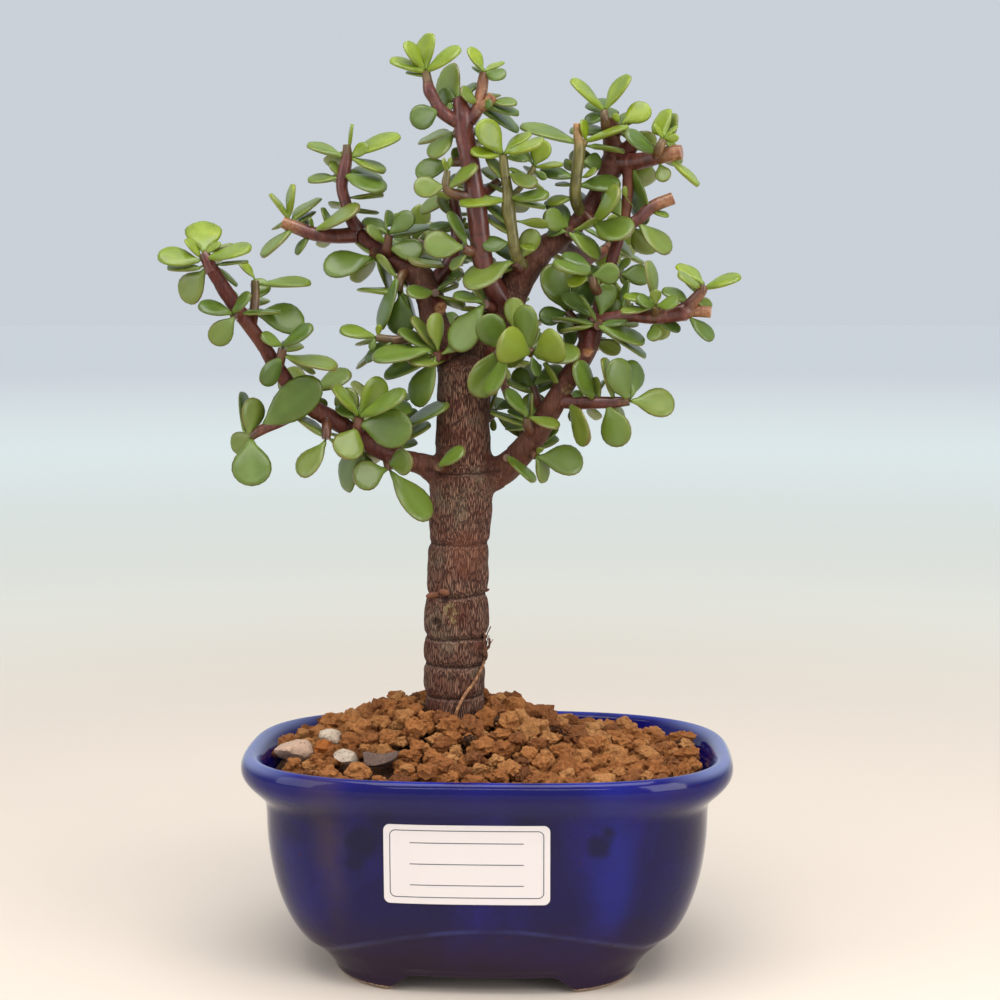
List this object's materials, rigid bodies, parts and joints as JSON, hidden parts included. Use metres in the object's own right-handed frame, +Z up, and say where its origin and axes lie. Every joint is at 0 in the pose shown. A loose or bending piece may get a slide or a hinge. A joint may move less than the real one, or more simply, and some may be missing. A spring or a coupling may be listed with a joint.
{
  "type": "potted bonsai",
  "caption": "Small jade bonsai tree with a thick trunk, branching limbs and small round fleshy leaves, planted in granular soil in an oval glazed pot on low feet.",
  "frame": {"origin": "on the table under the middle of the whole piece's bounding box", "axes": "+Z up; X along the pot's long side; the pot's labelled front faces -Y"},
  "size_m": [0.1658, 0.1036, 0.2749],
  "materials": {
    "glaze": "gloss",
    "label": "matte",
    "screen": "matte",
    "soil": "rough",
    "pink_stone": "matte",
    "pale_stone": "matte",
    "bark": "matte",
    "leaf": "satin",
    "young_leaf": "satin"
  },
  "bodies": {
    "root": {"pot": "glaze", "label": "label", "drain_screen_left": "screen", "drain_screen_right": "screen", "soil": "soil", "stone_pink": "pink_stone", "stone_white_left": "pale_stone", "stone_white_front": "pale_stone", "bark_chip": "bark", "trunk": "bark", "branch_centre": "leaf", "branch_right_middle": "leaf", "branch_upper_right": "young_leaf", "shoot_left_tip": "young_leaf", "shoot_left_outer": "leaf", "shoot_left_outer_top": "young_leaf", "shoot_left_mid": "leaf", "shoot_left_low_tip": "leaf", "shoot_left_under": "leaf", "shoot_left_inner": "leaf", "shoot_left_inner_under": "leaf", "shoot_left_near_trunk": "leaf", "shoot_left_near_trunk_top": "leaf", "shoot_trunk_left": "leaf", "shoot_mid_left_top": "young_leaf", "shoot_mid_left_end": "leaf", "shoot_mid_left_under": "leaf", "shoot_mid_left_inner": "leaf", "shoot_mid_limb_under": "leaf", "shoot_mid_limb_front": "leaf", "shoot_left_twig": "leaf", "shoot_fork_left": "leaf", "shoot_fork_front": "leaf", "shoot_main_front": "leaf", "shoot_olive_stem": "leaf", "shoot_behind_upright": "leaf", "shoot_trunk_front": "leaf", "shoot_fork_right": "leaf", "shoot_low_right_inner": "leaf", "shoot_low_right_front": "leaf", "shoot_trunk_right": "leaf", "shoot_low_right_bud": "leaf", "shoot_low_right_foot": "leaf", "shoot_low_right_side": "leaf", "shoot_right_limb_left": "leaf", "shoot_right_limb_front": "leaf", "shoot_right_limb_right": "leaf", "shoot_right_main_front": "leaf", "shoot_right_main_side": "leaf", "shoot_olive_right": "leaf", "shoot_upper_right_top": "young_leaf", "shoot_upper_right_side": "young_leaf", "shoot_right_limb_cut": "leaf", "shoot_right_mid_front": "leaf", "shoot_back_centre": "leaf", "shoot_back_left": "leaf", "shoot_back_right": "leaf", "shoot_back_low": "leaf", "shoot_back_far_left": "leaf"}
  },
  "joints": []
}
